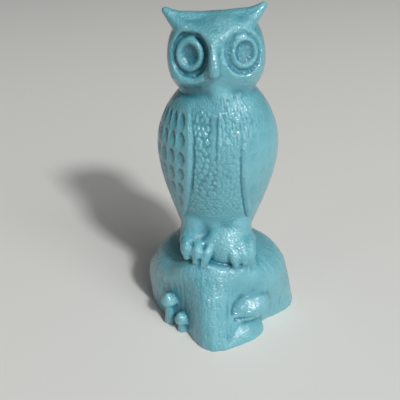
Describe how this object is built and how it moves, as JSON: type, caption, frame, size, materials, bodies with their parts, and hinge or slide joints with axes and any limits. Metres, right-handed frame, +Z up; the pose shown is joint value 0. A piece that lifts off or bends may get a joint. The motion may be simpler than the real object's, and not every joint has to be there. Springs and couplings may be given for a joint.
{
  "type": "glass owl figurine",
  "caption": "Solid pressed opaque glass owl perched on a tree stump, with small mushrooms and shelf fungi at its foot; a shelf ornament.",
  "frame": {"origin": "on the flat underside, below the upright axis of the owl's body", "axes": "+Z up; the owl looks along -Y; +X is on the right of someone who faces it"},
  "size_m": [0.0698, 0.0672, 0.1408],
  "materials": {
    "milk_glass": "fire-polished gloss, opaque aqua"
  },
  "bodies": {
    "root": {"owl_on_stump": "milk_glass"}
  },
  "joints": []
}
